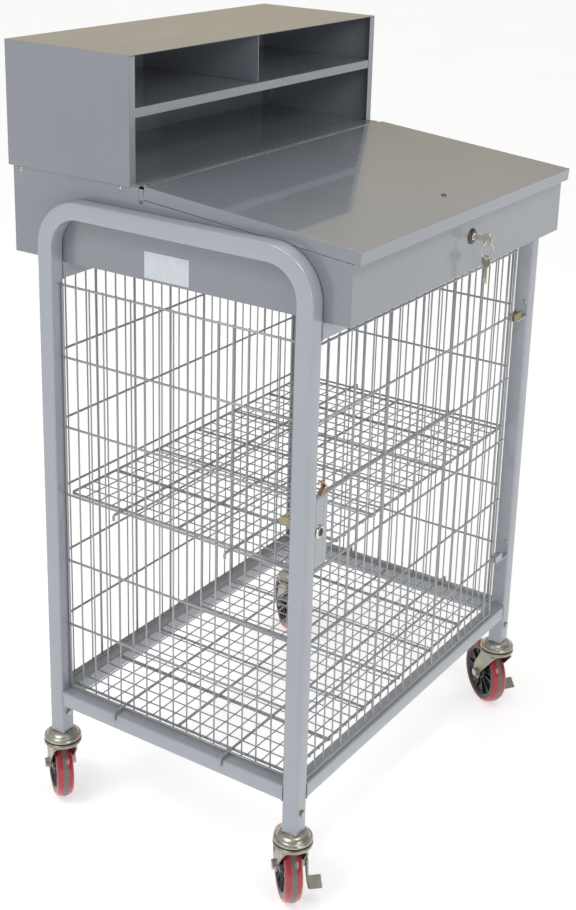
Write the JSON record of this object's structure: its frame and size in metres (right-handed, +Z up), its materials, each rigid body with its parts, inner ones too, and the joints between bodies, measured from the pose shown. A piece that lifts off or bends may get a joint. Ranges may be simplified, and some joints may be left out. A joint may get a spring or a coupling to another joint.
{
  "type": "mobile desk cart",
  "caption": "Wheeled standing desk with a sloping hinged lid and pigeonhole riser over a lockable wire cage with shelves, on swivel casters with side brakes.",
  "frame": {"origin": "on the floor, under the middle of the whole cart's bounding box", "axes": "+Z up; -Y is the front, the side with the cage door and the writing desk's low edge; +X is right as seen from the front"},
  "size_m": [0.8411, 0.6888, 1.3574],
  "materials": {
    "enamel": "semi-gloss blue-grey enamel",
    "wire_enamel": "semi-gloss light grey enamel on wire",
    "zinc": "bright zinc plate",
    "yellow_zinc": "yellow zinc plate",
    "chrome": "polished",
    "hub_black": "black moulded core, slightly glossy",
    "red_tread": "red polyurethane, dusty where it runs",
    "dark_steel": "dark plated steel"
  },
  "bodies": {
    "frame": {"left_end_frame": "enamel", "right_end_frame": "enamel", "bottom_rail_front": "enamel", "bottom_rail_rear": "enamel", "bottom_rail_left": "enamel", "bottom_rail_right": "enamel", "top_stretcher_front": "enamel", "top_stretcher_rear": "enamel", "desk_tray": "enamel", "rear_deck": "enamel", "lid_hinge_fixed_leaf": "zinc", "lid_hinge_pin": "zinc", "riser_shell": "enamel", "riser_back": "enamel", "riser_shelf": "enamel", "riser_divider": "enamel", "desk_lock_body": "chrome", "cage_left_panel": "wire_enamel", "cage_right_panel": "wire_enamel", "cage_rear_panel": "wire_enamel", "door_latch_keeper": "yellow_zinc", "door_hinge_arm_lower": "yellow_zinc", "door_hinge_arm_upper": "yellow_zinc", "bottom_wire_shelf": "wire_enamel", "middle_wire_shelf": "wire_enamel", "caster_front_left_cap": "zinc", "caster_front_right_cap": "zinc", "caster_rear_left_cap": "zinc", "caster_rear_right_cap": "zinc"},
    "lid": {"desk_lid": "enamel", "lid_hinge_lid_leaf": "zinc"},
    "desk_lock_turn": {"desk_lock_plug": "chrome", "desk_lock_cam": "zinc", "desk_key": "chrome"},
    "spare_keys": {"key_ring": "chrome", "spare_key": "chrome"},
    "door": {"door_wire_panel": "wire_enamel", "door_latch_plate": "enamel", "door_latch_body": "chrome", "door_hinge_block_lower": "yellow_zinc", "door_hinge_block_upper": "yellow_zinc"},
    "door_latch": {"door_latch_cam": "yellow_zinc"},
    "swivel_front_left": {"caster_front_left_fork": "zinc", "caster_front_left_axle": "zinc"},
    "wheel_front_left": {"caster_front_left_hub": "hub_black", "caster_front_left_tread": "red_tread"},
    "brake_front_left": {"caster_front_left_brake_pedal": "dark_steel"},
    "swivel_front_right": {"caster_front_right_fork": "zinc", "caster_front_right_axle": "zinc"},
    "wheel_front_right": {"caster_front_right_hub": "hub_black", "caster_front_right_tread": "red_tread"},
    "brake_front_right": {"caster_front_right_brake_pedal": "dark_steel"},
    "swivel_rear_left": {"caster_rear_left_fork": "zinc", "caster_rear_left_axle": "zinc"},
    "wheel_rear_left": {"caster_rear_left_hub": "hub_black", "caster_rear_left_tread": "red_tread"},
    "swivel_rear_right": {"caster_rear_right_fork": "zinc", "caster_rear_right_axle": "zinc"},
    "wheel_rear_right": {"caster_rear_right_hub": "hub_black", "caster_rear_right_tread": "red_tread"}
  },
  "joints": [
    {"name": "lid_hinge", "type": "hinge", "parent": "frame", "child": "lid", "pos_m": [-0.018, 0.073, 1.1609], "axis": [-1, 0, 0], "range_deg": [0, 98]},
    {"name": "desk_lock", "type": "hinge", "parent": "frame", "child": "desk_lock_turn", "pos_m": [-0.006, -0.308, 1.075], "axis": [0, 1, 0], "range_deg": [0, 90]},
    {"name": "spare_keys_swing", "type": "hinge", "parent": "desk_lock_turn", "child": "spare_keys", "pos_m": [-0.006, -0.3333, 1.0694], "axis": [1, 0, 0], "range_deg": [-60, 0]},
    {"name": "door_hinge", "type": "hinge", "parent": "frame", "child": "door", "pos_m": [0.304, -0.2525, 0.61], "axis": [0, 0, 1], "range_deg": [0, 150]},
    {"name": "door_latch_turn", "type": "hinge", "parent": "door", "child": "door_latch", "pos_m": [-0.352, -0.254, 0.676], "axis": [0, 1, 0], "range_deg": [0, 90]},
    {"name": "swivel_front_left", "type": "hinge", "parent": "frame", "child": "swivel_front_left", "pos_m": [-0.3847, -0.2447, 0.14], "axis": [0, 0, 1], "continuous": true},
    {"name": "wheel_front_left_spin", "type": "hinge", "parent": "swivel_front_left", "child": "wheel_front_left", "pos_m": [-0.35851, -0.21914, 0.0635], "axis": [-0.6984, 0.7157, 0], "continuous": true},
    {"name": "brake_front_left_press", "type": "hinge", "parent": "swivel_front_left", "child": "brake_front_left", "pos_m": [-0.35851, -0.21914, 0.0635], "axis": [-0.6984, 0.7157, 0], "range_deg": [0, 16]},
    {"name": "swivel_front_right", "type": "hinge", "parent": "frame", "child": "swivel_front_right", "pos_m": [0.3487, -0.2447, 0.14], "axis": [0, 0, 1], "continuous": true},
    {"name": "wheel_front_right_spin", "type": "hinge", "parent": "swivel_front_right", "child": "wheel_front_right", "pos_m": [0.36969, -0.21472, 0.0635], "axis": [-0.8192, 0.5736, 0], "continuous": true},
    {"name": "brake_front_right_press", "type": "hinge", "parent": "swivel_front_right", "child": "brake_front_right", "pos_m": [0.36969, -0.21472, 0.0635], "axis": [-0.8192, 0.5736, 0], "range_deg": [0, 16]},
    {"name": "swivel_rear_left", "type": "hinge", "parent": "frame", "child": "swivel_rear_left", "pos_m": [-0.3847, 0.2487, 0.14], "axis": [0, 0, 1], "continuous": true},
    {"name": "wheel_rear_left_spin", "type": "hinge", "parent": "swivel_rear_left", "child": "wheel_rear_left", "pos_m": [-0.36207, 0.27746, 0.0635], "axis": [-0.7859, 0.6184, 0], "continuous": true},
    {"name": "swivel_rear_right", "type": "hinge", "parent": "frame", "child": "swivel_rear_right", "pos_m": [0.3487, 0.2487, 0.14], "axis": [0, 0, 1], "continuous": true},
    {"name": "wheel_rear_right_spin", "type": "hinge", "parent": "swivel_rear_right", "child": "wheel_rear_right", "pos_m": [0.37319, 0.2759, 0.0635], "axis": [-0.7431, 0.6691, 0], "continuous": true}
  ]
}
